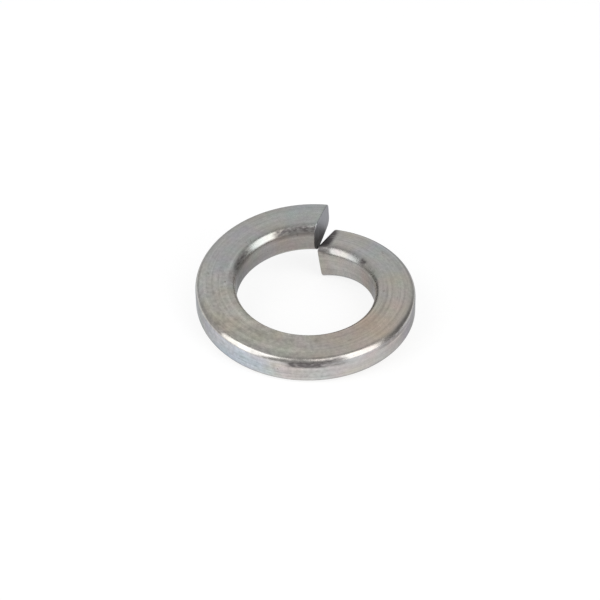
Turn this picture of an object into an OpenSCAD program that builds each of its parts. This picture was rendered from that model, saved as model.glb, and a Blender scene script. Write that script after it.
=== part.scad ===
// Spring lock washer in its free state: one turn of spring wire with a keystone section,
// coiled on edge into a left-hand helix and sheared off at both ends.
// Millimetres. The bore runs along +Z, z = 0 is the lowest edge of the low end, and the
// opening between the two ends points along +Y. Seen from above, the wire climbs clockwise
// from the low end to the high end.

/* [Wire] */
// Width of the wire, from the bore wall to the rim
wire_w = 7.3; // [5:0.1:10]
// Height of the wire, at the middle of its width
wire_h = 5.6; // [4:0.1:9]
// How much taller the wire is at the bore than at the rim, from being coiled on edge
keystone = 0.45; // [0:0.05:1]
// Radius of the four long edges
edge_r = 1.3; // [0.3:0.05:1.6]

/* [Coil] */
// Diameter of the bore
bore_d = 25; // [16:0.1:36]
// Rise of the helix over one full turn
pitch = 5.6; // [3:0.1:12]
// Tilt of the wire at mid-turn, rim side up, in degrees
dish = 0.3; // [-2:0.1:2]
// Tilt that the wire gains by either end, in degrees: rim down at the low end, up at the high end
end_twist = 6.7; // [0:0.1:9]

/* [Ends] */
// Opening between the two cuts, along the middle of the wire
gap = 1.2; // [1:0.1:4]
// Angle of both cuts away from a radial line, in degrees
cut_skew = 10.8; // [0:0.1:20]
// Overhang of the low cut toward the opening, top edge first, in degrees
low_lean = 4.8; // [0:0.1:8]
// Overhang of the high cut toward the opening, top edge first, in degrees
high_lean = 1.3; // [0:0.1:8]
// How far the shear has drawn down the underside at the low cut
toe_drop = 1.4; // [0:0.1:1.6]
// Angle from the low cut at which that drop has faded out, in degrees
toe_arc = 55; // [20:1:90]

/* [Hidden] */

// Segments along the full turn, and round each long edge
turn_steps = 120;
edge_steps = 6;
// Stock on the inner side of the coiled wire, which the bore cut takes off to leave a true cylinder
bore_stock = 0.03;
// Clearance with which the bore cut runs out above and below the washer
runout = 1;

bore_r = bore_d / 2;
mid_r = bore_r + wire_w / 2;
bore_side_h = wire_h + keystone / 2;
rim_side_h = wire_h - keystone / 2;

low_angle = (gap / 2) / mid_r * 180 / PI;
high_angle = 360 - low_angle;

// One rounded corner of the section, centred on [x, y], as a quarter turn from angle a
function corner(x, y, a) =
    [for (i = [0:edge_steps]) [x, y] + edge_r * [cos(a + 90 * i / edge_steps), sin(a + 90 * i / edge_steps)]];

// Outline of the wire: x is the distance out from the bore, y the height above mid-wire
section = concat(
    corner(wire_w - edge_r, rim_side_h / 2 - edge_r, 0),
    corner(edge_r - bore_stock, bore_side_h / 2 - edge_r, 90),
    corner(edge_r - bore_stock, edge_r - bore_side_h / 2, 180),
    corner(wire_w - edge_r, edge_r - rim_side_h / 2, 270)
);

// Height of mid-wire, its tilt and the drop of its underside, at an angle round from the opening
function mid_height(angle) = pitch * (angle - 180) / 360;
function tilt(angle) = dish + end_twist * pow((angle - 180) / 180, 3);
function toe(angle) = toe_drop * pow(max(0, 1 - (angle - low_angle) / toe_arc), 2);

// A section point carried round to an angle, as [radius, height]. The mandrel keeps the bore
// wall upright, so the tilt shifts a point sideways only in proportion to its distance from it
function carried(p, angle) =
    let (y = p[1] < 0 ? p[1] - toe(angle) : p[1])
    [
        bore_r + p[0] - y * sin(tilt(angle)) * p[0] / wire_w,
        mid_height(angle) + (p[0] - wire_w / 2) * sin(tilt(angle)) + y * cos(tilt(angle))
    ];

// The angle at which the fibre through a section point meets the plane of a cut
function cut_angle(p, angle, lean) =
    let (c = carried(p, angle), rise = c[1] - mid_height(angle))
    angle + cut_skew + asin((rise * tan(lean) - mid_r * tan(cut_skew)) * cos(cut_skew) / c[0]);

low_cut = [for (p = section) cut_angle(p, low_angle, -low_lean)];
high_cut = [for (p = section) cut_angle(p, high_angle, high_lean)];

// Where fibre j is after the share t of its way from the low cut to the high cut
function on_fibre(j, t) =
    let (angle = low_cut[j] * (1 - t) + high_cut[j] * t, c = carried(section[j], angle))
    [c[0] * sin(angle), c[0] * cos(angle), c[1]];

fibres = len(section);
coil_points = [for (k = [0:turn_steps]) for (j = [0:fibres - 1]) on_fibre(j, k / turn_steps)];
heights = [for (p = coil_points) p[2]];
low_z = min(heights);
free_h = max(heights) - low_z;

// The wire between its two cuts
module coiled_wire() {
    skin = [
        for (k = [0:turn_steps - 1])
            for (j = [0:fibres - 1])
                let (a = k * fibres, b = a + fibres, n = (j + 1) % fibres)
                [a + j, a + n, b + n, b + j]
    ];
    low_face = [for (j = [fibres - 1:-1:0]) j];
    high_face = [for (j = [0:fibres - 1]) turn_steps * fibres + j];
    translate([0, 0, -low_z])
        polyhedron(points = coil_points, faces = concat(skin, [low_face, high_face]), convexity = 6);
}

// The whole washer: the coiled wire with its bore brought to size
module spring_washer() {
    color("silver")
        difference() {
            coiled_wire();
            translate([0, 0, -runout])
                cylinder(h = free_h + 2 * runout, d = bore_d, $fn = 240);
        }
}

spring_washer();
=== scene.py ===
"""Spring lock washer, finished for its picture.

One turn of keystone spring wire, coiled on edge and sheared off at both ends, lies on a white
bench between two soft boxes. The wire is swept by a node tree that follows the same rule as the
part's source, with a finer skin. It adds what one real washer has from its wear and its shearing:
a broken edge, a burr and a lip at the cuts, and a bore edge that is rounder near them.
"""

from __future__ import annotations

import logging
import math
from dataclasses import dataclass, field
from enum import Enum
from typing import Any

import bmesh
import bpy
from mathutils import Matrix, Vector


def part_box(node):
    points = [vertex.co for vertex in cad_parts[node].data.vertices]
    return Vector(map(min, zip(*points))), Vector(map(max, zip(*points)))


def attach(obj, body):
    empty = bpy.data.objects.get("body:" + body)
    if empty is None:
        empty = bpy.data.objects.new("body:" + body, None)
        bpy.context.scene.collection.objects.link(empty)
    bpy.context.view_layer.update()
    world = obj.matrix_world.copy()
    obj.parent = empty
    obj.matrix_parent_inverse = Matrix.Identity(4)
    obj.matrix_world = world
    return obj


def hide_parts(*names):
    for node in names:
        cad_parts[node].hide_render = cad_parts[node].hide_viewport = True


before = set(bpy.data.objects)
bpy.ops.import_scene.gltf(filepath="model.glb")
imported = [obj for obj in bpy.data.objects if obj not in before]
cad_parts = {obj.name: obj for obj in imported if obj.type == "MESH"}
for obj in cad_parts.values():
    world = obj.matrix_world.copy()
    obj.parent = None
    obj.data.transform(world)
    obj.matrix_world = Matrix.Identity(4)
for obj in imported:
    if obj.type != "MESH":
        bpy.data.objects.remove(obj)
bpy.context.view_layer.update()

MM = 0.001
QUARTER_TURN = math.pi / 2
# Points of the skin that are closer than this, in metres, become one
WELD = 1.0e-7
# A piece can stand on a face of its hull whose normal has a height below this
FACING_DOWN = -0.9
LOG = logging.getLogger("spring_washer")

Colour = tuple[float, float, float, float]
Stops = tuple[tuple[float, Colour], ...]


class Field:
    """A node socket that Python's own signs can reckon with."""

    def __init__(self, sheet: Sheet, socket: bpy.types.NodeSocket) -> None:
        """Wraps a socket.

        Args:
            sheet: The node tree that the socket is in.
            socket: An output socket.
        """
        self.sheet = sheet
        self.socket = socket

    def __add__(self, other: Field | float) -> Field:
        """Returns the sum."""
        return self.sheet.math("ADD", self, other)

    def __sub__(self, other: Field | float) -> Field:
        """Returns the difference."""
        return self.sheet.math("SUBTRACT", self, other)

    def __rsub__(self, other: float) -> Field:
        """Returns a number less this value."""
        return self.sheet.math("SUBTRACT", other, self)

    def __mul__(self, other: Field | float) -> Field:
        """Returns the product."""
        return self.sheet.math("MULTIPLY", self, other)

    def __truediv__(self, other: Field | float) -> Field:
        """Returns the quotient."""
        return self.sheet.math("DIVIDE", self, other)

    def __pow__(self, power: float) -> Field:
        """Returns the value raised to a power."""
        return self.sheet.math("POWER", self, power)

    def __neg__(self) -> Field:
        """Returns the value with its sign turned."""
        return self.sheet.math("MULTIPLY", self, -1.0)

    __radd__ = __add__
    __rmul__ = __mul__

    def clamped(self, low: float = 0.0, high: float = 1.0) -> Field:
        """Returns the value held between two limits."""
        return self.sheet.math("MINIMUM", self.sheet.math("MAXIMUM", self, low), high)

    def ramp(self, start: float, end: float) -> Field:
        """Adds a smooth rise from 0 to 1.

        Args:
            start: The value up to which it stays 0.
            end: The value from which it stays 1.

        Returns:
            The height of the rise at this value.
        """
        return self.sheet.node(
            "ShaderNodeMapRange",
            {"interpolation_type": "SMOOTHSTEP"},
            {"Value": self, "From Min": start, "From Max": end},
        )

    def between(self, start: float, full: float, falling: float, end: float) -> Field:
        """Returns 1 from full to falling, with a smooth rise before and a smooth fall after."""
        return self.ramp(start, full) * (1.0 - self.ramp(falling, end))


class Sheet:
    """A node tree that is being drawn up."""

    def __init__(self, tree: bpy.types.NodeTree) -> None:
        """Starts on a tree.

        Args:
            tree: A shader, world or shape tree.
        """
        self.tree = tree

    def node(
        self,
        kind: str,
        settings: dict[str, Any] | None = None,
        inputs: dict[str | int, Any] | None = None,
        output: str | int = 0,
    ) -> Field:
        """Adds one node.

        Args:
            kind: The node's type.
            settings: Its own settings, set first. "stops" holds a colour ramp's places and colours.
            inputs: Values or fields by socket name, identifier or number.
            output: The output socket wanted, by name, identifier or number.

        Returns:
            The output socket as a field.
        """
        made = self.tree.nodes.new(kind)
        for name, value in (settings or {}).items():
            if name == "stops":
                self._set_stops(made.color_ramp, value)
            else:
                setattr(made, name, value)
        for key, value in (inputs or {}).items():
            socket = self._find(made.inputs, key)
            if isinstance(value, Field):
                self.tree.links.new(value.socket, socket)
            else:
                socket.default_value = value
        return Field(self, self._find(made.outputs, output))

    def math(self, operation: str, *values: Field | float) -> Field:
        """Adds a Math node on up to three values and returns its result."""
        return self.node("ShaderNodeMath", {"operation": operation}, dict(enumerate(values)))

    def vector(self, x: Field | float, y: Field | float, z: Field | float) -> Field:
        """Joins three values into a vector."""
        return self.node("ShaderNodeCombineXYZ", None, {"X": x, "Y": y, "Z": z})

    def parts(self, vector: Field) -> tuple[Field, Field, Field]:
        """Splits a vector into its three values."""
        x = self.node("ShaderNodeSeparateXYZ", None, {"Vector": vector})
        return tuple(Field(self, socket) for socket in x.socket.node.outputs)

    def blend(self, share: Field | float, a: Any, b: Any, mode: str = "MIX") -> Field:
        """Mixes two colours.

        Args:
            share: How much of the second colour shows.
            a: The first colour.
            b: The second colour.
            mode: How the second is laid over the first.

        Returns:
            The mixed colour.
        """
        return self.node(
            "ShaderNodeMix",
            {"data_type": "RGBA", "blend_type": mode},
            {"Factor_Float": share, "A_Color": a, "B_Color": b},
            "Result_Color",
        )

    def tint(self, colour: Any, tint: Field, share: Field | float = 1.0) -> Field:
        """Multiplies a share of a tint into a colour."""
        return self.blend(share, colour, tint, "MULTIPLY")

    def along(self, turn: Field, stops: Stops) -> Field:
        """Returns the colour that the stops give at a share of the turn."""
        return self.node("ShaderNodeValToRGB", {"stops": stops}, {"Fac": turn}, "Color")

    def end(self, kind: str, name: str, value: Field) -> None:
        """Adds the tree's output node and feeds its named socket."""
        self.tree.links.new(value.socket, self.tree.nodes.new(kind).inputs[name])

    @staticmethod
    def _find(sockets: Any, key: str | int) -> bpy.types.NodeSocket:
        """Finds a socket.

        Args:
            sockets: A node's inputs or outputs.
            key: The socket's number, or else its name or identifier.

        Returns:
            The first socket that it stands for.
        """
        if isinstance(key, int):
            return sockets[key]
        return next(s for s in sockets if key in (s.identifier, s.name))

    @staticmethod
    def _set_stops(ramp: bpy.types.ColorRamp, stops: Stops) -> None:
        """Gives a colour ramp its stops.

        Args:
            ramp: The ramp of a new Color Ramp node, which has two stops.
            stops: Places from 0 to 1, in order, and their colours.
        """
        while len(ramp.elements) < len(stops):
            ramp.elements.new(0.5)
        for element, (place, colour) in zip(ramp.elements, stops, strict=True):
            element.position = place
            element.color = colour


def grey(level: float) -> Colour:
    """Returns a neutral colour of one level."""
    return (level, level, level, 1.0)


@dataclass(frozen=True)
class Skin:
    """What the coil writes on its skin, as one material reads it.

    The place is in millimetres along the wire, out from the bore and up from mid-wire, and the
    last two are also given by themselves. The cut is 1 on a sheared face, and the edge 1 in the
    middle of a long edge. The turn runs from 0 at the low end to 1 at the high end, and the side
    from -1 on the bore wall to 1 on the rim.
    """

    place: Field
    out: Field
    up: Field
    cut: Field
    edge: Field
    turn: Field
    side: Field

    @classmethod
    def read(cls, sheet: Sheet) -> Skin:
        """Adds the nodes that read the skin.

        Args:
            sheet: The material's tree.

        Returns:
            The skin's fields.
        """
        place = sheet.node("ShaderNodeAttribute", {"attribute_name": "wire_place"}, None, "Vector")
        _, out, up = sheet.parts(place)
        values = (
            sheet.node("ShaderNodeAttribute", {"attribute_name": name}, None, "Fac")
            for name in ("cut_face", "long_edge", "turn", "side")
        )
        return cls(place, out, up, *values)


@dataclass(frozen=True)
class Streaks:
    """Marks that are long one way.

    The scale is in marks per millimetre along the wire, across it and through its height, and the
    start is their own place in the noise.
    """

    scale: tuple[float, float, float]
    start: float
    detail: float = 2.5

    def draw(self, skin: Skin, seed: float) -> Field:
        """Adds the nodes of the texture.

        Args:
            skin: The fields that the coil writes.
            seed: The finish's place in the noise, to which the start is added.

        Returns:
            A level from about 0 to 1.
        """
        moved = {
            "Vector": skin.place,
            "Scale": self.scale,
            "Location": (self.start + seed,) * 3,
        }
        stretched = skin.place.sheet.node("ShaderNodeMapping", None, moved)
        inputs = {"Vector": stretched, "Scale": 1.0, "Detail": self.detail}
        return skin.place.sheet.node("ShaderNodeTexNoise", None, inputs, "Fac")


@dataclass(frozen=True)
class Cloud:
    """Even patches, so many to a millimetre, with their own place in the noise as the start."""

    scale: float
    start: float
    detail: float

    def draw(self, skin: Skin, seed: float) -> Field:
        """Adds the nodes of the texture.

        Args:
            skin: The fields that the coil writes.
            seed: The finish's place in the noise, to which the start is added.

        Returns:
            A level from about 0 to 1.
        """
        moved = {"Vector": skin.place, "Location": (self.start + seed,) * 3}
        shifted = skin.place.sheet.node("ShaderNodeMapping", None, moved)
        inputs = {"Vector": shifted, "Scale": self.scale, "Detail": self.detail}
        return skin.place.sheet.node("ShaderNodeTexNoise", None, inputs, "Fac")


@dataclass(frozen=True)
class Weights:
    """How strongly each kind of mark shows in one property of the finish."""

    fine: float = 0.0
    broad: float = 0.0
    mottle: float = 0.0
    bloom: float = 0.0
    pits: float = 0.0

    def total(self, marks: dict[str, Field]) -> Field:
        """Returns the sum of the marks that have a weight here."""
        return sum(marks[name] * weight for name, weight in vars(self).items() if weight)


@dataclass(frozen=True)
class ScaleAndShadePatch:
    """A dark patch on the top of the wire: partly scale left there by drawing or by the shear,
    partly painted shade and painted dark reflection.

    It covers a part of the turn and fades out beyond it, over the share of the turn that is its
    fade. It is darkest where the skin faces sideways as far as its side says, and is gone where
    that is off by its breadth.
    """

    turns: tuple[float, float]
    side: float
    breadth: float
    strength: float
    fade: float = 0.025

    def spread(self, skin: Skin) -> Field:
        """Adds the nodes of the patch.

        Args:
            skin: The fields that the coil writes.

        Returns:
            A level from 0, well clear of the patch, to its strength in the middle.
        """
        start, end = self.turns
        along = skin.turn.between(start - self.fade, start, end, end + self.fade)
        off = skin.side.sheet.math("ABSOLUTE", skin.side - self.side)
        return along * (1.0 - off.ramp(0.0, self.breadth)) * self.strength


@dataclass(frozen=True)
class SpringSteelFinish:
    """Bare satin spring steel, drawn along the wire, with duller ends where it was sheared.

    The tints, and on the two walls their own, are multiplied into the steel at their shares of
    the turn, from which bloom leads them astray by the wander; the walls' own tints also paint
    shade on them. The drifts are the patchy colours of a thin oxide. The shade is how the marks
    show in the colour, with more of them where the skin is scored or worn; the gloss is how they
    show in the roughness, and the relief in the height of the skin, of which a height of 1 is the
    depth, in metres. The patches paint shade and dark reflection as well as scale. A tuple of two
    levels is where something begins to show and where it shows in full.
    """

    seed: float = 3.7
    steel: Colour = (0.50, 0.49, 0.475, 1.0)
    # The patches' colour: scale, and painted shade and painted dark reflection
    scale: Colour = (0.15, 0.138, 0.138, 1.0)
    pit: Colour = (0.17, 0.12, 0.105, 1.0)
    sheared: Colour = (0.385, 0.39, 0.41, 1.0)
    torn: Colour = (0.26, 0.25, 0.24, 1.0)
    glance: Colour = (0.55, 0.55, 0.56, 1.0)
    roughness: float = 0.24
    sheared_roughness: float = 0.42
    edge_polish: float = 0.03
    bore_edge_wear: float = 0.10
    depth: float = 4.0e-6

    marks: tuple[tuple[str, Streaks | Cloud], ...] = (
        ("fine", Streaks((0.10, 6.0, 6.0), 0.0)),
        ("broad", Streaks((0.05, 1.6, 1.6), 5.0)),
        ("mottle", Cloud(1.5, 17.0, 3.0)),
        ("bloom", Cloud(0.32, 11.0, 2.0)),
    )
    pits: Cloud = Cloud(0.9, 23.0, 3.0)
    shear: Streaks = Streaks((0.4, 6.0, 0.35), 29.0)
    ragged: Streaks = Streaks((1.3, 3.6, 3.6), 37.0)
    grain: Cloud = Cloud(3.5, 37.3, 4.0)
    drifts: tuple[tuple[Cloud, tuple[float, float, float]], ...] = (
        (Cloud(0.20, 51.0, 1.2), (0.18, 0.00, -0.24)),
        (Cloud(0.30, 67.0, 1.6), (0.12, -0.12, 0.06)),
    )

    shade: Weights = Weights(fine=0.32, broad=0.36, mottle=0.40, bloom=0.10)
    scored_shade: Weights = Weights(broad=0.90)
    scored_turns: tuple[float, ...] = (0.16, 0.24, 0.30, 0.38)
    worn_shade: Weights = Weights(broad=0.35, mottle=0.35, bloom=0.30)
    worn_turns: tuple[float, ...] = (0.38, 0.48, 0.70, 0.80)
    gloss: Weights = Weights(broad=0.14, mottle=0.14, pits=0.20)
    relief: Weights = Weights(fine=0.7, broad=0.9, mottle=0.9, pits=-2.0)
    wander: float = 0.12
    scored_bloom: float = 2.0
    bare_edge: float = 0.8

    pitting: tuple[float, float] = (0.66, 0.76)
    pitted_bloom: tuple[float, float] = (-0.02, 0.12)
    pit_strength: float = 0.6
    wall_facing: tuple[float, float] = (0.85, 1.0)
    # Where the patches of scale and painted shade show, how ragged they are, and their roughness
    # and relief
    scale_height: tuple[float, float] = (0.8, 1.3)
    scale_contrast: float = 2.4
    scale_roughness: float = 0.20
    scale_relief: float = 3.0
    toward_clean: tuple[float, float, float] = (0.7, 0.5, 1.6)
    clean_shear: tuple[float, float] = (0.1, 3.4)
    shear_contrast: float = 0.56
    shear_relief: float = 5.0
    grain_relief: float = 4.0

    tints: Stops = (
        (0.00, (0.92, 0.92, 0.91, 1.0)),
        (0.04, (0.95, 0.96, 0.96, 1.0)),
        (0.10, (0.96, 0.97, 0.965, 1.0)),
        (0.18, (1.02, 1.01, 0.95, 1.0)),
        (0.33, (1.08, 0.97, 0.89, 1.0)),
        (0.53, (1.00, 1.00, 0.94, 1.0)),
        (0.62, (1.07, 1.04, 0.96, 1.0)),
        (0.72, (1.02, 1.05, 1.04, 1.0)),
        (0.80, (0.99, 1.02, 1.06, 1.0)),
        (0.90, (0.97, 0.99, 0.98, 1.0)),
    )
    # Painted shade on the bore wall, with a warm tint: darker than the steel all round, darkest
    # about two-thirds of the turn from the low end, as if it mirrored the bench in the ring's
    # shadow
    bore_wall: Stops = (
        (0.00, (0.78, 0.755, 0.71, 1.0)),
        (0.05, (0.84, 0.805, 0.765, 1.0)),
        (0.12, (0.74, 0.71, 0.70, 1.0)),
        (0.67, (0.36, 0.35, 0.345, 1.0)),
        (0.72, (0.46, 0.45, 0.44, 1.0)),
        (0.80, (0.54, 0.52, 0.50, 1.0)),
        (0.88, (0.62, 0.58, 0.57, 1.0)),
    )
    # The rim's own bluish tint, with painted shade that makes it darker from the opening round to
    # its right side, about a quarter of the turn
    rim_wall: Stops = (
        (0.20, (0.66, 0.69, 0.73, 1.0)),
        (0.27, (0.80, 0.85, 0.93, 1.0)),
        (0.36, (0.955, 1.00, 1.09, 1.0)),
        (0.43, (1.00, 1.02, 1.09, 1.0)),
        (0.50, (1.04, 1.06, 1.12, 1.0)),
        (0.56, (0.97, 1.05, 1.24, 1.0)),
        (0.60, (0.95, 1.04, 1.26, 1.0)),
        (0.67, (0.97, 1.03, 1.12, 1.0)),
    )
    # Most of these paint shade and dark reflection rather than scale: the bands under the rim's
    # highlights at the right and the front, the top face at the low cut under the high end, the
    # start of the bore edge's highlight there, the lower part of the bore edge about an eighth of
    # the way round, the bore edge on the left, and much of the high end's bore edge. The speck a
    # tenth of the way round is a mark of the wire's own.
    patches: tuple[ScaleAndShadePatch, ...] = (
        ScaleAndShadePatch((0.310, 0.335), 0.90, 0.30, 0.60),
        ScaleAndShadePatch((0.415, 0.430), 0.80, 0.50, 0.75, 0.02),
        ScaleAndShadePatch((0.450, 0.480), 0.95, 0.30, 1.00, 0.02),
        ScaleAndShadePatch((-0.02, 0.07), -0.60, 0.60, 0.18),
        ScaleAndShadePatch((-0.02, 0.006), -0.05, 0.60, 1.60, 0.016),
        ScaleAndShadePatch((-0.02, 0.004), -0.70, 0.55, 0.50, 0.010),
        ScaleAndShadePatch((0.103, 0.110), -0.60, 0.35, 1.00, 0.008),
        ScaleAndShadePatch((0.120, 0.160), -0.90, 0.35, 0.30, 0.03),
        ScaleAndShadePatch((0.762, 0.806), -0.70, 0.60, 0.75),
        ScaleAndShadePatch((0.908, 1.02), -0.70, 0.50, 0.90),
    )

    def make(self) -> bpy.types.Material:
        """Builds the material.

        Returns:
            A material that reads the wire's own places, which the coil writes on its skin.
        """
        material = bpy.data.materials.new("Drawn_spring_steel")
        material.use_nodes = True
        material.node_tree.nodes.clear()
        sheet = Sheet(material.node_tree)
        skin = Skin.read(sheet)

        marks = {name: kind.draw(skin, self.seed) - 0.5 for name, kind in self.marks}
        spots = self.pits.draw(skin, self.seed).ramp(*self.pitting)
        marks["pits"] = spots * marks["bloom"].ramp(*self.pitted_bloom)
        shear = self.shear.draw(skin, self.seed)
        ragged = self.ragged.draw(skin, self.seed)
        # Patches of scale, and of painted shade and painted dark reflection on the edges and the
        # top face
        scale = sum(patch.spread(skin) for patch in self.patches)
        scale = scale * skin.up.ramp(*self.scale_height)
        scale = (scale * ((ragged - 0.5) * self.scale_contrast + 1.0)).clamped()

        colour = sheet.blend(scale, self._drawn_colour(sheet, skin, marks), self.scale)
        colour = sheet.blend(skin.cut, colour, self._cut_colour(sheet, skin, shear))
        roughness = self.roughness + self.gloss.total(marks) + scale * self.scale_roughness
        wear = (-skin.side).clamped() * self.bore_edge_wear
        roughness = roughness + skin.edge * (wear - self.edge_polish)
        roughness = roughness + skin.cut * (self.sheared_roughness - roughness)
        height = self.relief.total(marks) + scale * ragged * self.scale_relief
        grain = self.grain.draw(skin, self.seed)
        rough_cut = shear * self.shear_relief + grain * self.grain_relief
        height = height + skin.cut * rough_cut
        bump = sheet.node(
            "ShaderNodeBump", None, {"Strength": 1.0, "Distance": self.depth, "Height": height}
        )
        shader = sheet.node(
            "ShaderNodeBsdfPrincipled",
            None,
            {
                "Base Color": colour,
                "Metallic": 1.0,
                "Roughness": roughness,
                "Specular Tint": self.glance,
                "Normal": bump,
            },
        )
        sheet.end("ShaderNodeOutputMaterial", "Surface", shader)
        return material

    def _drawn_colour(self, sheet: Sheet, skin: Skin, marks: dict[str, Field]) -> Field:
        """Colours the drawn skin, with the walls' painted shade, all but its patches of scale and
        painted shade.

        Args:
            sheet: The material's tree.
            skin: The fields that the coil writes.
            marks: The noise marks, by name.

        Returns:
            The colour.
        """
        turn = skin.turn + marks["bloom"] * self.wander
        colour = sheet.tint(self.steel, sheet.along(turn, self.tints))
        colour = sheet.tint(colour, self._drift(sheet, skin))
        colour = sheet.blend(skin.edge * skin.side.clamped() * self.bare_edge, colour, self.steel)

        scored = marks["bloom"] * self.scored_bloom + 0.5
        scored = skin.turn.between(*self.scored_turns) * scored
        worn = skin.turn.between(*self.worn_turns)
        level = self.shade.total(marks) + self.scored_shade.total(marks) * scored + 1.0
        level = level + self.worn_shade.total(marks) * worn
        colour = sheet.tint(colour, sheet.vector(level, level, level))
        colour = sheet.blend(marks["pits"] * self.pit_strength, colour, self.pit)
        # The walls' own tints paint shade: the bore wall darkened as if it mirrored the shaded
        # bench, and the rim darker from the opening round its right side
        for facing, stops in ((-skin.side, self.bore_wall), (skin.side, self.rim_wall)):
            wall = facing.ramp(*self.wall_facing)
            colour = sheet.tint(colour, sheet.along(turn, stops), wall)
        return colour

    def _cut_colour(self, sheet: Sheet, skin: Skin, shear: Field) -> Field:
        """Colours a cut face: clean toward its top and the rim, torn toward its foot.

        Args:
            sheet: The material's tree.
            skin: The fields that the coil writes.
            shear: The marks of the blade.

        Returns:
            The colour.
        """
        upward, outward, bladed = self.toward_clean
        clean = skin.up * upward + skin.out * outward + shear * bladed
        clean = clean.ramp(*self.clean_shear)
        level = (shear - 0.5) * self.shear_contrast + 1.0
        face = sheet.blend(clean, self.torn, self.sheared)
        return sheet.tint(face, sheet.vector(level, level, level))

    def _drift(self, sheet: Sheet, skin: Skin) -> Field:
        """Gives the patchy tints of a thin oxide, between warm and cool and green and pink.

        Args:
            sheet: The material's tree.
            skin: The fields that the coil writes.

        Returns:
            A colour near white, to be multiplied in.
        """
        levels: list[Field | float] = [1.0, 1.0, 1.0]
        for cloud, swings in self.drifts:
            patch = cloud.draw(skin, self.seed) - 0.5
            levels = [level + patch * swing for level, swing in zip(levels, swings, strict=True)]
        return sheet.vector(*levels)


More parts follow.
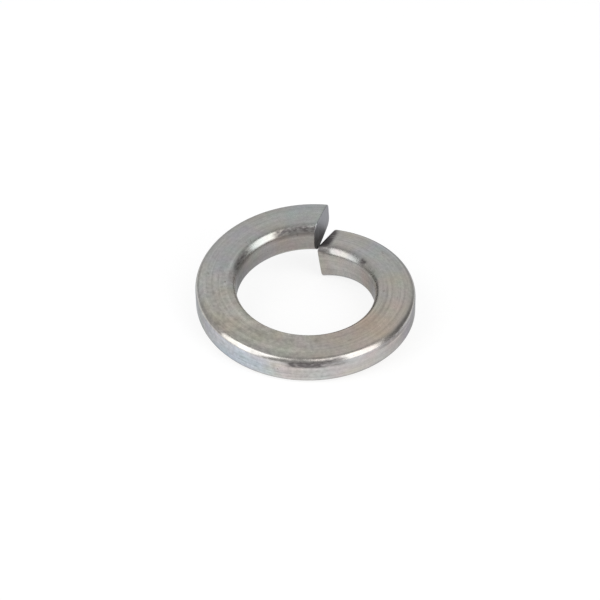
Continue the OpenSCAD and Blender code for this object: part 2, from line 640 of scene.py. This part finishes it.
@dataclass
class CoiledWire:
    """The washer's wire, coiled on edge. Lengths in millimetres, angles in degrees.

    An angle is measured from the opening, clockwise seen from above. In the section, x runs out
    from the bore and y up from mid-wire. The lift is the height of mid-wire halfway round.

    The bore's top edge grows to its low and its high radius toward the ends, over spans that are
    measured from halfway round, in turns. The pinch is about the part of that growth by which it
    falls below the plain radius at the low cut itself, and its span is measured from there. On the
    bore side, the shear has left a burr at the foot of the high cut and a lip at the head of the
    low one; their spans are heights above mid-wire in heights of the wire, downward for the burr,
    whose power draws it toward the foot.
    """

    width: float = 7.3
    height: float = 5.6
    keystone: float = 0.45
    edge_radius: float = 1.3
    low_bore_edge: float = 2.2
    high_bore_edge: float = 1.7
    bore: float = 25.0
    pitch: float = 5.6
    dish: float = 0.3
    end_twist: float = 6.7
    gap: float = 1.2
    cut_skew: float = 10.8
    low_lean: float = 4.8
    high_lean: float = 1.3
    toe_drop: float = 1.4
    toe_arc: float = 55.0
    cut_break: float = 0.2
    burr: float = 0.60
    lip: float = 0.35
    lift: float = 6.923
    low_edge_span: tuple[float, float] = (0.27, 0.36)
    high_edge_span: tuple[float, float] = (0.25, 0.33)
    pinch_span: tuple[float, float] = (-0.01, 0.035)
    pinch: float = 0.3
    burr_span: tuple[float, float] = (0.10, 0.50)
    burr_power: float = 3.0
    lip_span: tuple[float, float] = (-0.8, 0.45)
    corner_steps: int = 14
    flat_steps: int = 6
    turn_steps: int = 360
    break_steps: int = 5
    cut_rings: int = 9
    nudge: float = 1.0e-4
    finish: SpringSteelFinish = field(default_factory=SpringSteelFinish)

    def build(self) -> bpy.types.Object:
        """Sweeps the wire and dresses it.

        Returns:
            The washer as one plain mesh object at the origin.
        """
        tree = self._draw_tree(self.finish.make())
        piece = bpy.data.objects.new("Coiled_wire", bpy.data.meshes.new("Coiled_wire"))
        bpy.context.scene.collection.objects.link(piece)
        coil = piece.modifiers.new("Coil", "NODES")
        coil.node_group = tree
        sizes = self._inputs()
        for item in tree.interface.items_tree:
            if item.in_out == "INPUT":
                coil[item.identifier] = sizes[item.name]
        shape = bpy.context.evaluated_depsgraph_get()
        mesh = bpy.data.meshes.new_from_object(
            piece.evaluated_get(shape), preserve_all_data_layers=True, depsgraph=shape
        )
        piece.modifiers.clear()
        piece.data = mesh
        return piece

    def _inputs(self) -> dict[str, float]:
        """Returns the tree's inputs by name, in metres and radians."""
        lengths = {
            "Wire width": self.width,
            "Wire height": self.height,
            "Keystone": self.keystone,
            "Edge radius": self.edge_radius,
            "Low bore edge": self.low_bore_edge,
            "High bore edge": self.high_bore_edge,
            "Bore diameter": self.bore,
            "Pitch": self.pitch,
            "Gap": self.gap,
            "Toe drop": self.toe_drop,
            "Cut break": self.cut_break,
            "Burr": self.burr,
            "Lip": self.lip,
            "Lift": self.lift,
        }
        angles = {
            "Dish": self.dish,
            "End twist": self.end_twist,
            "Cut skew": self.cut_skew,
            "Low lean": self.low_lean,
            "High lean": self.high_lean,
            "Toe arc": self.toe_arc,
        }
        return {name: size * MM for name, size in lengths.items()} | {
            name: math.radians(angle) for name, angle in angles.items()
        }

    def _draw_tree(self, material: bpy.types.Material) -> bpy.types.NodeTree:
        """Draws up the tree that bends a flat grid into the wire.

        Args:
            material: The finish that the wire is given.

        Returns:
            A shape tree with a named input for every size.
        """
        tree = bpy.data.node_groups.new("Coil the wire", "GeometryNodeTree")
        for name in self._inputs():
            tree.interface.new_socket(name=name, in_out="INPUT", socket_type="NodeSocketFloat")
        tree.interface.new_socket(
            name="Washer", in_out="OUTPUT", socket_type="NodeSocketGeometry"
        )
        sheet = Sheet(tree)
        given = sheet.node("NodeGroupInput").socket.node.outputs
        size = {name: Field(sheet, given[name]) for name in self._inputs()}

        around = 4 * (self.corner_steps + self.flat_steps)
        rows = self.turn_steps + 2 * (self.cut_rings + self.break_steps)
        shape = sheet.node(
            "GeometryNodeMeshGrid",
            None,
            {"Size X": 1.0, "Size Y": 1.0, "Vertices X": around + 1, "Vertices Y": rows + 1},
        )
        at_x, at_y, _ = sheet.parts(sheet.node("GeometryNodeInputPosition"))
        step = sheet.math("ROUND", (at_x + 0.5) * float(around))
        row = sheet.math("ROUND", (at_y + 0.5) * float(rows))

        body, hub, slope = self._rows(sheet, row, rows)
        inset = size["Cut break"] * (1.0 - sheet.math("SINE", slope))
        back = size["Cut break"] * (1.0 - sheet.math("COSINE", slope))
        bore_edge = self._bore_edge(size, body)
        x, y, long_edge, side = self._section(sheet, size, step, inset, bore_edge)
        x = x + (size["Wire width"] * 0.5 - x) * hub
        y = y * (1.0 - hub)

        mid_radius = self._mid_radius(size)
        low_angle = size["Gap"] * 0.5 / mid_radius
        low_cut, high_cut = self._cuts(sheet, size, x, y, back, low_angle)
        angle = low_cut + (high_cut - low_cut) * body
        radius, rise, middle = self._carried(sheet, size, x, y, angle, low_angle)
        spot = sheet.vector(
            radius * sheet.math("SINE", angle),
            radius * sheet.math("COSINE", angle),
            rise + middle + size["Lift"],
        )

        place = sheet.vector(angle * mid_radius * (1 / MM), x * (1 / MM), y * (1 / MM))
        for name, kind, value in (
            ("wire_place", "FLOAT_VECTOR", place),
            ("cut_face", "FLOAT", 1.0 - slope * (1 / QUARTER_TURN)),
            ("long_edge", "FLOAT", long_edge),
            ("side", "FLOAT", side),
            ("turn", "FLOAT", angle * (0.5 / math.pi)),
        ):
            shape = sheet.node(
                "GeometryNodeStoreNamedAttribute",
                {"data_type": kind, "domain": "POINT"},
                {"Geometry": shape, "Name": name, "Value": value},
            )
        for kind, inputs in (
            ("GeometryNodeSetPosition", {"Position": spot}),
            ("GeometryNodeMergeByDistance", {"Distance": WELD}),
            ("GeometryNodeSetShadeSmooth", {}),
            ("GeometryNodeRealizeInstances", {}),
            ("GeometryNodeSetMaterial", {"Material": material}),
        ):
            shape = sheet.node(kind, None, {"Geometry": shape} | inputs)
        sheet.end("NodeGroupOutput", "Washer", shape)
        return tree

    def _rows(self, sheet: Sheet, row: Field, rows: int) -> tuple[Field, Field, Field]:
        """Says what a row of the grid becomes.

        From a cut, the rows are first the rings on the cut face, then those of its rounded edge,
        then the body of the wire.

        Args:
            sheet: The shape tree.
            row: The row's number, from the low cut.
            rows: The number of the last row, at the high cut.

        Returns:
            The share of the way from cut to cut, how far the ring is drawn in to the middle of
            the cut face, and the angle round the cut's edge, from 0 on the face to a quarter turn.
        """
        ends = float(self.cut_rings + self.break_steps)
        body = ((row - ends) / float(self.turn_steps)).clamped()
        nearest = sheet.math("MINIMUM", row, float(rows) - row)
        hub = 1.0 - (nearest / float(self.cut_rings)).clamped()
        past_face = (nearest - float(self.cut_rings)) / float(self.break_steps)
        return body, hub, past_face.clamped() * QUARTER_TURN

    def _bore_edge(self, size: dict[str, Field], body: Field) -> Field:
        """Gives the radius of the bore's top edge: rounder near both ends, but not at the low cut.

        Args:
            size: The tree's named inputs.
            body: The share of the way from cut to cut.

        Returns:
            The radius.
        """
        # Smoothed twice, so that the edge opens gently out of the pinch
        opened = body.ramp(*self.pinch_span)
        opened = opened * opened * (3.0 - opened * 2.0)
        by_low_end = (0.5 - body).ramp(*self.low_edge_span) * (
            opened * (1.0 + self.pinch) - self.pinch
        )
        by_high_end = (body - 0.5).ramp(*self.high_edge_span)
        return (
            size["Edge radius"]
            + (size["Low bore edge"] - size["Edge radius"]) * by_low_end
            + (size["High bore edge"] - size["Edge radius"]) * by_high_end
        )

    def _cuts(
        self,
        sheet: Sheet,
        size: dict[str, Field],
        x: Field,
        y: Field,
        back: Field,
        low_angle: Field,
    ) -> tuple[Field, Field]:
        """Finds where the fibre through a point of the section starts and ends.

        Args:
            sheet: The shape tree.
            size: Its named inputs.
            x: The point's place out from the bore.
            y: Its height above mid-wire.
            back: How far the edge of a cut is rounded back from its plane there.
            low_angle: The angle of the low end.

        Returns:
            The angles of the fibre's two ends, with the lip and the burr on them.
        """
        mid_radius = self._mid_radius(size)
        high_angle = 2 * math.pi - low_angle
        low_cut = self._cut_angle(sheet, size, x, y, low_angle, -size["Low lean"], low_angle)
        high_cut = self._cut_angle(sheet, size, x, y, high_angle, size["High lean"], low_angle)
        low_cut = low_cut + back / mid_radius
        high_cut = high_cut - back / mid_radius
        toward_foot = (-y / size["Wire height"]).ramp(*self.burr_span) ** self.burr_power
        toward_head = (y / size["Wire height"]).ramp(*self.lip_span)
        toward_wall = 1.0 - (x / size["Wire width"]).clamped()
        low_cut = low_cut - size["Lip"] / mid_radius * toward_head * toward_wall
        high_cut = high_cut + size["Burr"] / mid_radius * toward_foot * toward_wall
        return low_cut, high_cut

    @staticmethod
    def _mid_radius(size: dict[str, Field]) -> Field:
        """Returns the radius of the helix that mid-wire follows."""
        return size["Bore diameter"] * 0.5 + size["Wire width"] * 0.5

    def _section(
        self, sheet: Sheet, size: dict[str, Field], step: Field, inset: Field, bore_edge: Field
    ) -> tuple[Field, Field, Field, Field]:
        """Walks once round the keystone section, from the top of the rim toward the bore.

        Args:
            sheet: The shape tree.
            size: Its named inputs.
            step: The step on the way round.
            inset: How far the outline is drawn in.
            bore_edge: The radius of the bore's top edge.

        Returns:
            The place out from the bore, the height above mid-wire, how far into a long edge the
            step is, from 0 on the flats to 1 in the middle of the edge, and how far the skin faces
            sideways, from -1 on the bore wall to 1 on the rim.
        """
        side_steps = float(self.corner_steps + self.flat_steps)
        # The nudge keeps the first step of a side from being rounded down into the one before
        corner = sheet.math("FLOOR", step / side_steps + self.nudge)
        on_side = step - corner * side_steps
        bend = (on_side / float(self.corner_steps)).clamped()
        flat = ((on_side - float(self.corner_steps)) / float(self.flat_steps)).clamped()
        way = corner + flat
        toward_bore = sheet.math("MINIMUM", way, 3.0 - way).clamped()
        top = sheet.math("MAXIMUM", (3.0 - way * 2.0).clamped(-1.0, 1.0), way * 2.0 - 7.0)
        heading = (corner + bend) * QUARTER_TURN
        on_bore_edge = 1.0 - sheet.math("ABSOLUTE", way - 1.0).clamped()
        radius = size["Edge radius"] + (bore_edge - size["Edge radius"]) * on_bore_edge
        out = radius - inset
        half = (size["Wire height"] + size["Keystone"] * (toward_bore - 0.5)) * 0.5
        x_rim = size["Wire width"] - radius
        x = x_rim + (radius - x_rim) * toward_bore + out * sheet.math("COSINE", heading)
        y = (half - radius) * top + out * sheet.math("SINE", heading)
        return x, y, sheet.math("SINE", bend * math.pi), sheet.math("COSINE", heading)

    @staticmethod
    def _carried(
        sheet: Sheet,
        size: dict[str, Field],
        x: Field,
        y: Field,
        angle: Field,
        low_angle: Field,
    ) -> tuple[Field, Field, Field]:
        """Carries a point of the section round to an angle.

        The mandrel keeps the bore wall upright, so the tilt shifts a point sideways only in
        proportion to its distance from it.

        Args:
            sheet: The shape tree.
            size: Its named inputs.
            x: The point's place out from the bore.
            y: Its height above mid-wire.
            angle: The angle round from the opening.
            low_angle: The angle of the low end.

        Returns:
            The point's radius, its rise above mid-wire, and the height of mid-wire.
        """
        share = (angle - math.pi) / math.pi
        tilt = size["Dish"] + size["End twist"] * share * share * share
        fade = sheet.math("MAXIMUM", 1.0 - (angle - low_angle) / size["Toe arc"], 0.0)
        reach = size["Wire height"] * 0.5 - size["Edge radius"]
        under = (0.5 - y / reach * 0.5).clamped()
        y = y - size["Toe drop"] * fade * fade * under
        sine, cosine = sheet.math("SINE", tilt), sheet.math("COSINE", tilt)
        radius = size["Bore diameter"] * 0.5 + x - y * sine * x / size["Wire width"]
        rise = (x - size["Wire width"] * 0.5) * sine + y * cosine
        return radius, rise, size["Pitch"] * share * 0.5

    def _cut_angle(
        self,
        sheet: Sheet,
        size: dict[str, Field],
        x: Field,
        y: Field,
        angle: Field,
        lean: Field,
        low_angle: Field,
    ) -> Field:
        """Finds where the fibre through a point of the section meets the plane of a cut.

        Args:
            sheet: The shape tree.
            size: Its named inputs.
            x: The point's place out from the bore.
            y: Its height above mid-wire.
            angle: The angle at which the cut crosses the middle of the wire.
            lean: How far the cut leans toward the opening at its top.
            low_angle: The angle of the low end.

        Returns:
            The angle of the cut on that fibre.
        """
        radius, rise, _ = self._carried(sheet, size, x, y, angle, low_angle)
        mid_radius = self._mid_radius(size)
        skew = size["Cut skew"]
        swing = (
            (rise * sheet.math("TANGENT", lean) - mid_radius * sheet.math("TANGENT", skew))
            * sheet.math("COSINE", skew)
            / radius
        )
        return angle + skew + sheet.math("ARCSINE", swing)


def direction(azimuth: float, elevation: float) -> Vector:
    """Returns a unit vector.

    Args:
        azimuth: Degrees round from the front, to the right.
        elevation: Degrees up from level.

    Returns:
        The direction, out from the washer.
    """
    turn, lift = math.radians(azimuth), math.radians(elevation)
    return Vector(
        (math.sin(turn) * math.cos(lift), -math.cos(turn) * math.cos(lift), math.sin(lift))
    )


class Side(Enum):
    """Where a soft box stands, as degrees round from the photographer, to the right."""

    LEFT = -48.0
    RIGHT = 69.3


@dataclass(frozen=True)
class SoftBox:
    """A flat, evenly lit panel. Lengths in metres, angles in degrees."""

    side: Side
    level: float = 1.75
    width: float = 0.47
    height: float = 0.90
    distance: float = 0.62
    elevation: float = 34.0

    def place(self, target: Vector) -> bpy.types.Object:
        """Puts up the lamp.

        Args:
            target: The point that it faces.

        Returns:
            The lamp.
        """
        lamp = bpy.data.lights.new(f"Soft_box_{self.side.name.lower()}", "AREA")
        lamp.shape = "RECTANGLE"
        lamp.size = self.width
        lamp.size_y = self.height
        lamp.energy = self.level * math.pi * self.width * self.height
        stand = bpy.data.objects.new(lamp.name, lamp)
        away = direction(self.side.value, self.elevation)
        stand.location = target + away * self.distance
        stand.rotation_euler = away.to_track_quat("Z", "Y").to_euler()
        stand.visible_camera = False
        bpy.context.scene.collection.objects.link(stand)
        return stand


@dataclass
class Bench:
    """The white surface that the washer rests on, tipped to touch it where a real one would.

    Its half width is in metres, and its glow is seen by the camera and in mirrors alone.
    """

    half_width: float = 2.0
    paint: float = 0.24
    glow: float = 0.80

    def build(self, piece: bpy.types.Object) -> bpy.types.Object:
        """Lays the surface under a piece.

        Args:
            piece: The washer.

        Returns:
            The bench.
        """
        corners = self._resting_face(piece.data)
        middle = sum(corners, Vector()) / 3
        up = (corners[1] - corners[0]).cross(corners[2] - corners[0]).normalized()
        up = up if up.z > 0 else -up
        across = Vector((1, 0, 0)).cross(up).normalized()
        along = up.cross(across)
        LOG.info("bench tipped %.1f degrees", math.degrees(up.angle(Vector((0, 0, 1)))))
        mesh = bpy.data.meshes.new("Bench")
        mesh.from_pydata(
            [
                middle + (along * u + across * v) * self.half_width
                for u, v in ((-1, 1), (-1, -1), (1, -1), (1, 1))
            ],
            [],
            [(0, 1, 2, 3)],
        )
        mesh.materials.append(self._paint_material())
        bench = bpy.data.objects.new("Bench", mesh)
        bpy.context.scene.collection.objects.link(bench)
        return bench

    @staticmethod
    def _resting_face(mesh: bpy.types.Mesh) -> list[Vector]:
        """Finds the three points that the mesh stands on.

        Args:
            mesh: A closed mesh.

        Returns:
            The corners of the face of its hull that lies under its centre of mass.
        """
        shell = bmesh.new()
        shell.from_mesh(mesh)
        centre, volume = Vector(), 0.0
        bmesh.ops.triangulate(shell, faces=shell.faces[:])
        for face in shell.faces:
            a, b, c = (v.co for v in face.verts)
            part = a.dot(b.cross(c))
            centre += (a + b + c) * part / 4
            volume += part
        centre /= volume
        hull = bmesh.ops.convex_hull(shell, input=shell.verts[:])["geom"]
        found: list[Vector] = []
        for face in hull:
            if not isinstance(face, bmesh.types.BMFace) or face.normal.z > FACING_DOWN:
                continue
            corners = [v.co.copy() for v in face.verts]
            foot = centre - face.normal * (centre - corners[0]).dot(face.normal)
            turns = [
                (corners[i - 2] - corners[i]).cross(foot - corners[i]).dot(face.normal)
                for i in range(3)
            ]
            if min(turns) >= 0 or max(turns) <= 0:
                found = corners
        shell.free()
        return found

    def _paint_material(self) -> bpy.types.Material:
        """Builds the white of the bench.

        Returns:
            A material that takes shadows but stays white round them.
        """
        material = bpy.data.materials.new("White_bench")
        material.use_nodes = True
        material.node_tree.nodes.clear()
        sheet = Sheet(material.node_tree)
        path = sheet.node("ShaderNodeLightPath").socket.node.outputs
        seen = sum(
            (Field(sheet, path[name]) for name in ("Is Glossy Ray", "Is Transmission Ray")),
            Field(sheet, path["Is Camera Ray"]),
        ).clamped()
        paint = sheet.node("ShaderNodeBsdfDiffuse", None, {"Color": grey(self.paint)})
        glow = sheet.node(
            "ShaderNodeEmission", None, {"Color": grey(1.0), "Strength": seen * self.glow}
        )
        both = sheet.node("ShaderNodeAddShader", None, {0: paint, 1: glow})
        sheet.end("ShaderNodeOutputMaterial", "Surface", both)
        return material


@dataclass(frozen=True)
class Card:
    """A lighter or darker part of the room with a soft edge. Angles in degrees."""

    azimuth: float
    elevation: float
    reach: float
    gain: float


@dataclass
class Studio:
    """The room round the bench, as the washer mirrors it."""

    level: float = 0.455
    cards: tuple[Card, ...] = (
        Card(194.0, 31.0, 52.0, 0.22),
        Card(188.0, 13.0, 15.0, 0.32),
        Card(119.0, 14.0, 33.0, -0.21),
    )

    def build(self) -> None:
        """Lights the room, and shows its colours as they are."""
        world = bpy.data.worlds.new("Studio")
        bpy.context.scene.world = world
        world.use_nodes = True
        world.node_tree.nodes.clear()
        sheet = Sheet(world.node_tree)
        toward = sheet.node("ShaderNodeTexCoord", None, None, "Generated")
        level: Field | float = self.level
        for card in self.cards:
            facing = sheet.node(
                "ShaderNodeVectorMath",
                {"operation": "DOT_PRODUCT"},
                {0: toward, 1: direction(card.azimuth, card.elevation)},
                "Value",
            )
            level = facing.ramp(math.cos(math.radians(card.reach)), 1.0) * card.gain + level
        glow = sheet.node("ShaderNodeBackground", None, {"Color": grey(1.0), "Strength": level})
        sheet.end("ShaderNodeOutputWorld", "Surface", glow)
        bpy.context.scene.view_settings.view_transform = "Standard"


@dataclass(frozen=True)
class Camera:
    """The photographer's place. Angles in degrees, lengths in millimetres, the clips in metres.

    The target is the middle of the helix, and the two offsets centre it in the frame as in the
    photograph.
    """

    azimuth: float = 14.52
    elevation: float = 42.46
    roll: float = -2.149
    distance: float = 536.1
    lens: float = 178.27
    sensor: float = 36.0
    right: float = -1.013
    up: float = -0.783
    clips: tuple[float, float] = (0.01, 10.0)

    def place(self, target: Vector) -> bpy.types.Object:
        """Sets up the camera.

        Args:
            target: The middle of the helix.

        Returns:
            The camera, which becomes the scene's.
        """
        roll = math.radians(self.roll)
        back = direction(self.azimuth, self.elevation)
        level = direction(self.azimuth + 90.0, 0.0)
        upright = back.cross(level)
        right = level * math.cos(roll) + upright * math.sin(roll)
        up = upright * math.cos(roll) - level * math.sin(roll)
        data = bpy.data.cameras.new("Camera")
        data.sensor_width = self.sensor
        data.lens = self.lens
        data.clip_start, data.clip_end = self.clips
        camera = bpy.data.objects.new("Camera", data)
        turn = Matrix((right, up, back)).transposed()
        spot = target + (back * self.distance + right * self.right + up * self.up) * MM
        camera.matrix_world = Matrix.Translation(spot) @ turn.to_4x4()
        bpy.context.scene.collection.objects.link(camera)
        bpy.context.scene.camera = camera
        return camera


def main() -> None:
    """Builds the washer, the bench and the lights, and reports the piece."""
    logging.basicConfig(level=logging.INFO, format="%(name)s: %(message)s")
    wire = CoiledWire()
    middle = Vector((0.0, 0.0, wire.lift * MM))
    Camera().place(middle)

    washer = wire.build()
    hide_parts("spring_washer")
    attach(washer, "root")
    low, high = (Vector(corner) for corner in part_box("spring_washer"))
    LOG.info(
        "%s: %d faces, %s mm, and the source's solid is %s mm",
        washer.name,
        len(washer.data.polygons),
        [round(length / MM, 2) for length in washer.dimensions],
        [round(length / MM, 2) for length in high - low],
    )

    bench = Bench().build(washer)
    Studio().build()
    for side in Side:
        SoftBox(side).place(middle)


if __name__ == "__main__":
    main()
